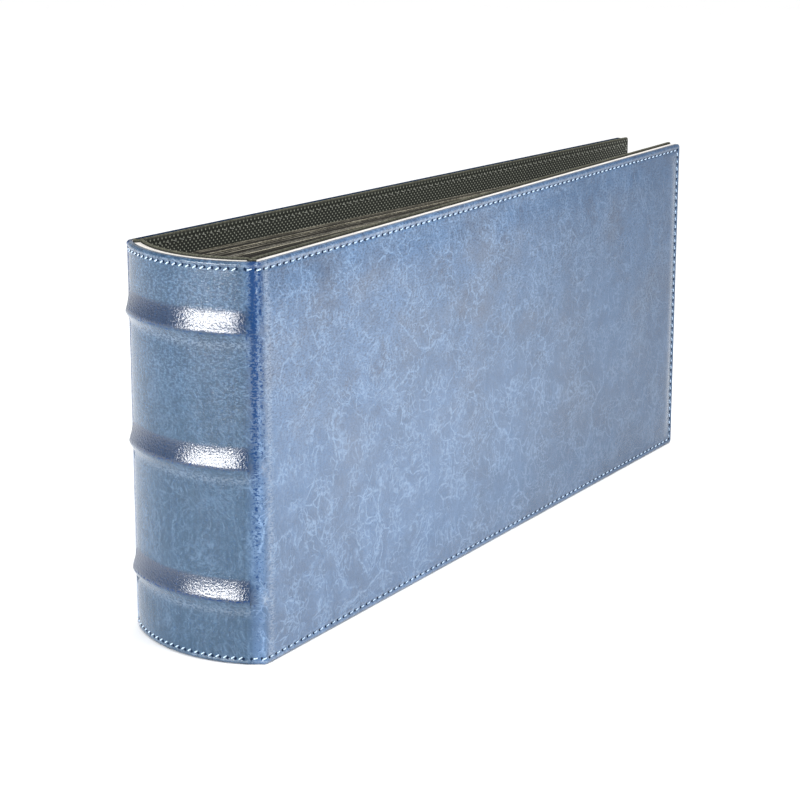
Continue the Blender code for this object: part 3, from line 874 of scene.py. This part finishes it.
def leaf_direction(name):
    """Plan direction of a leaf at rest, from its CAD node's box and its pivot."""
    low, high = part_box(name)
    pivot = HINGES[f"{name}_hinge"]
    end_y = high.y if abs(high.y - pivot.y) > abs(low.y - pivot.y) else low.y
    run = Vector((high.x - pivot.x, end_y - pivot.y))
    run.y -= math.copysign(LEAF_THICKNESS / 2, run.y)
    return pivot, run.normalized(), run.length


def make_pockets(name, sheets, material, tone):
    """Several thin sheets as one object. tone says how bright their edges are."""
    points, faces, flat, edges = [], [], [], []
    for outer, inner, sheet, edge in sheets:
        rows, columns = outer.shape[:2]
        base = sum(len(p) for p in points)
        points += [outer.reshape(-1, 3), inner.reshape(-1, 3)]
        flat += [sheet.reshape(-1, 3)] * 2
        edges += [edge.ravel()] * 2
        faces += [tuple(base + v for v in face) for face in slab_faces(rows, columns)]
    edge = np.concatenate(edges)
    marks = {"edge": edge, "tone": np.full_like(edge, tone)}
    return make_mesh(name, np.concatenate(points), faces, material, np.concatenate(flat), marks)


def pocket_room(index, along, length):
    """Space beside the card for a leaf's pockets. Neighbours do not meet, whether the block is
    closed (a wedge) or fanned out (narrow beside the hinge, and opening with the distance)."""
    pitch = GUARD_PITCH + (EDGE_LEAF_PITCH - GUARD_PITCH) * along / length
    turned = FRONT_OPENS * FANNED[index]
    fan_step = FRONT_OPENS * (FANNED[0] - FANNED[1])
    fanned = GUARD_PITCH * math.cos(turned) + along * math.sin(fan_step)
    return np.maximum(0.45 * np.minimum(pitch, fanned) - POCKET_GAP, 0.05 * MM)


def make_leaf(index, name, card, film):
    """A stiff card between clear pocket films, which stand apart near the guards."""
    pivot, direction, length = leaf_direction(name)
    low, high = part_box(name)[0].z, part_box(name)[1].z
    body = f"{name}_body"
    seed = 1.7 * index

    def ripple(along, up):
        wave = undulation(along, up, 90 * MM, seed)
        free = smoothstep(along, 6 * MM, 60 * MM) * (1 - smoothstep(along, length * 0.55, length * 0.95))
        return 0.06 * MM * wave * free

    outer, inner, sheet, edge = sheet_slab(pivot, direction, (CARD_START, length), low, high, ripple,
                                           lambda along: np.full_like(along, CARD_THICKNESS))
    tone = LEAF_TONES[index]
    leaf = make_slab(f"{name}_card", outer, inner, card, sheet, {"edge": edge * tone})
    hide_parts(name)
    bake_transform(leaf)

    def room(along):
        space = pocket_room(index, along, length)
        # Every third leaf is empty, so its flat pocket leaves a dark gap beside it.
        return np.minimum(space, EMPTY_POCKET) if index % 3 == 2 else space

    sunk = DARK_LEAF_SINKS if tone < DARK_TONE else 0.0
    sheets = []
    for order, (side, share) in enumerate(POCKET_FILMS):
        def spread(along, up, side=side, share=share):
            return ripple(along, up) + side * (POCKET_GAP + share * room(along))

        trim = POCKET_TRIMS[(order + index) % len(POCKET_TRIMS)] + sunk
        sheets.append(sheet_slab(pivot, direction, (POCKET_START, length - POCKET_SHORTER), low + trim,
                                 high - trim, spread, lambda along: 0.4 * room(along)))
    pockets = make_pockets(f"{name}_pockets", sheets, film, tone)
    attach(pockets, body)


# ---------------------------------------------------------------- assembly

def cover_lines(side):
    """Grid lines along a cover's skin, from the spine board's edge to the fore-edge."""
    start = HALF_SPINE - JOINT_STRIP
    found = lines(start, HALF_SPINE + COVER_LENGTH, 3.1 * MM, JOINT_LINES, EDGE_LINES)
    return side * found if side > 0 else (side * found)[::-1]


def joint_blend(piece):
    """Bake a piece's placement into its mesh."""
    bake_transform(piece)


def make_cover(label, side, looks):
    skin = make_skin(f"{label}_skin", cover_lines(side), 3.4 * MM, looks["leather"])
    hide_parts(f"{label}_cover_leather", f"{label}_cover_padding")
    joint_blend(skin)

    outer = make_stitches(f"{label}_stitches", seam_runs(side), looks["thread"])
    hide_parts(f"{label}_cover_thread")
    joint_blend(outer)

    make_cover_lining(label, side, looks)


def lining_slab(name, along_lines, depth, material):
    """A lining whose inner face lies at the given depth; its cut edges are plain and a little soft."""
    edges = [d * MM for d in (0, 0.15, 0.5, 1.0, 1.6, 2.2, 3.0)]
    along, up = sheet_grid(along_lines, lines(0.0, HEIGHT, 12 * MM, edges, edges))
    edge = edge_distance(along, up)
    soft = 0.2 * MM * (1 - smoothstep(edge, 0.0, 0.5 * MM)) + 0.1 * MM * bell(edge, 2 * MM, 0.6 * MM)
    top = raised(up, LINING_HEAD)
    deep = depth(along) if callable(depth) else np.full(along.shape, depth)
    outer = on_case(along, top, LINING - deep)
    inner = on_case(along, top, soft - deep)
    sheet = np.stack([along, np.zeros_like(along), up], -1)
    rim = 1 - smoothstep(edge, 0.15 * MM, 0.6 * MM)
    return make_slab(name, outer, inner, material, sheet, {"rim": rim})


def make_cover_lining(label, side, looks):
    body = f"{label}_cover"
    start = HALF_SPINE + 0.9 * MM
    ends = [d * MM for d in (0, 0.15, 0.5, 1.0, 1.6, 2.2)]
    found = lines(start, HALF_SPINE + COVER_LENGTH, 12 * MM, (0, 0.3 * MM), ends)
    found = side * found if side > 0 else (side * found)[::-1]
    cloth = lining_slab(f"{label}_lining", found, CASE, looks["lining"])
    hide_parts(f"{label}_cover_lining")
    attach(cloth, body)

    inside = make_stitches(f"{label}_lining_stitches", seam_runs(side, HALF_SPINE + 3 * MM),
                           looks["pale_thread"], depth=CASE + 0.04 * MM, slant=-0.3, length=1.6 * MM)
    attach(inside, body)

    # The lining dips into the joint between spine and cover, which leaves slack for opening.
    def valley(along):
        past = np.abs(along) - HALF_SPINE
        dip = smoothstep(past, -4.6 * MM, -3.4 * MM) * (1 - smoothstep(past, -0.4 * MM, 0.9 * MM))
        return CASE - 2.2 * MM * dip

    joint = lines(HALF_SPINE - 4.5 * MM, HALF_SPINE + 0.8 * MM, 0.35 * MM)
    joint = side * joint if side > 0 else (side * joint)[::-1]
    strip = lining_slab(f"{label}_joint_lining", joint, valley, looks["lining"])
    joint_blend(strip)


def make_spine(looks):
    reach = HALF_SPINE - JOINT_STRIP
    skin = make_skin("spine_skin", lines(-reach, reach, 1.6 * MM), 0.8 * MM, looks["leather"])
    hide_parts("spine_leather")
    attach(skin, "root")

    count = int(round(SEAM_START / SPINE_PITCH))
    holes = SPINE_PITCH * np.arange(1 - count, count)
    for label, height in (("bottom", STITCH_INSET), ("top", HEIGHT - STITCH_INSET)):
        run = (holes, np.full(len(holes), height), 1.0, 0.0)
        row = make_stitches(f"spine_stitches_{label}", [run], looks["thread"], slant=0.6,
                            length=1.65 * MM, offset=0.95 * MM)
        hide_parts(f"spine_thread_{label}")
        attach(row, "root")

    cloth = lining_slab("spine_inner_lining", lines(-reach, reach, 3.0 * MM), CASE, looks["lining"])
    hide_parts("spine_lining")
    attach(cloth, "root")


def dress_cad_nodes(looks):
    """Better materials for the CAD nodes that stay as they are."""
    chosen = {"front_cover_board": "board", "back_cover_board": "board", "spine_board": "board",
              "block_backing": "cloth"}
    chosen.update({name: "guard" for name in GUARD_NAMES})
    chosen.update({f"raised_band_{label}": "card" for label in ("bottom", "middle", "top")})
    for name, look in chosen.items():
        mesh = frame["nodes"][name].data
        mesh.materials.clear()
        mesh.materials.append(looks[look])


def make_floor():
    mesh = bpy.data.meshes.new("floor")
    far = 6
    mesh.from_pydata([(-far, -far, 0), (far, -far, 0), (far, far, 0), (-far, far, 0)], [], [(0, 1, 2, 3)])
    floor = new_object("floor", mesh)
    material = bpy.data.materials.new("pale_floor")
    material.use_nodes = True
    tree = material.node_tree
    cloudy = noise_value(tree, object_millimetres(tree), 0.01, 2.0)
    set_inputs(tree, tree.nodes["Principled BSDF"], {
        "Base Color": mix(tree, cloudy, (0.91, 0.91, 0.91), (0.94, 0.94, 0.94)),
        "Roughness": 0.6, "Specular IOR Level": 0.2})
    mesh.materials.append(material)
    floor.location.z = -0.1 * MM


def make_light(name, place, target, width, height, radiance):
    """A softbox of a given brightness. Its power follows from its size."""
    light = bpy.data.lights.new(name, "AREA")
    light.shape = "RECTANGLE"
    light.size, light.size_y = width, height
    light.energy = radiance * math.pi * width * height
    lamp = new_object(name, light)
    lamp.location = place
    lamp.rotation_euler = (Vector(target) - Vector(place)).to_track_quat("-Z", "Y").to_euler()


def make_studio():
    world = bpy.data.worlds.new("studio")
    world.use_nodes = True
    background = world.node_tree.nodes["Background"]
    background.inputs["Color"].default_value = (1.0, 1.0, 1.0, 1.0)
    background.inputs["Strength"].default_value = 0.55
    bpy.context.scene.world = world
    make_floor()
    spine = (HINGE_X, 0.0, HEIGHT / 2)
    make_light("spine_softbox", (HINGE_X - 1.2, 0.11, 0.295), spine,
               width=0.95, height=0.18, radiance=42.0)
    make_light("front_softbox", (0.03, -0.42, 0.46), (0.0, -0.20, 0.0),
               width=0.4, height=0.3, radiance=9.0)
    sky = bpy.data.lights.new("overhead", "SUN")
    sky.energy = 1.8
    sky.angle = math.radians(60)
    new_object("overhead", sky)
    bpy.context.scene.view_settings.view_transform = "Standard"


def make_camera():
    """The photograph's view: from the spine's front corner, a little above the album's head."""
    lens_pixels = 1990.2
    yaw, pitch = 0.9154, 0.2160
    corner = Vector((HINGE_X, -HINGE_Y, 0.0))
    place = corner + Vector((-3.3878, -3.0153, 1.9721)) * HEIGHT
    level = math.cos(pitch)
    forward = Vector((math.sin(yaw) * level, math.cos(yaw) * level, -math.sin(pitch)))
    data = bpy.data.cameras.new("camera")
    data.sensor_width = 36.0
    data.lens = lens_pixels / FRAME_PIXELS * data.sensor_width
    data.shift_y = -0.16
    data.clip_start = 0.01
    camera = new_object("camera", data)
    camera.location = place
    camera.rotation_euler = forward.to_track_quat("-Z", "Y").to_euler()
    bpy.context.scene.camera = camera


def main():
    looks = {
        "leather": leather_material(),
        "board": board_material(),
        "lining": lining_material(),
        "thread": thread_material("pale_blue_thread", (0.55, 0.72, 0.92)),
        "pale_thread": thread_material("pale_grey_thread", (0.15, 0.155, 0.13)),
        "card": plain_fibre_material("band_card", (0.05, 0.045, 0.04), (0.10, 0.09, 0.08), 0.8),
        "guard": guard_material(),
        "cloth": plain_fibre_material("binding_cloth", (0.12, 0.11, 0.09), (0.22, 0.20, 0.17), 1.2),
        "leaf": leaf_material(),
        "film": film_material(),
    }
    make_camera()
    make_studio()
    dress_cad_nodes(looks)
    make_spine(looks)
    make_cover("front", -1, looks)
    make_cover("back", 1, looks)
    for index, name in enumerate(LEAF_NAMES):
        make_leaf(index, name, looks["leaf"], looks["film"])


main()
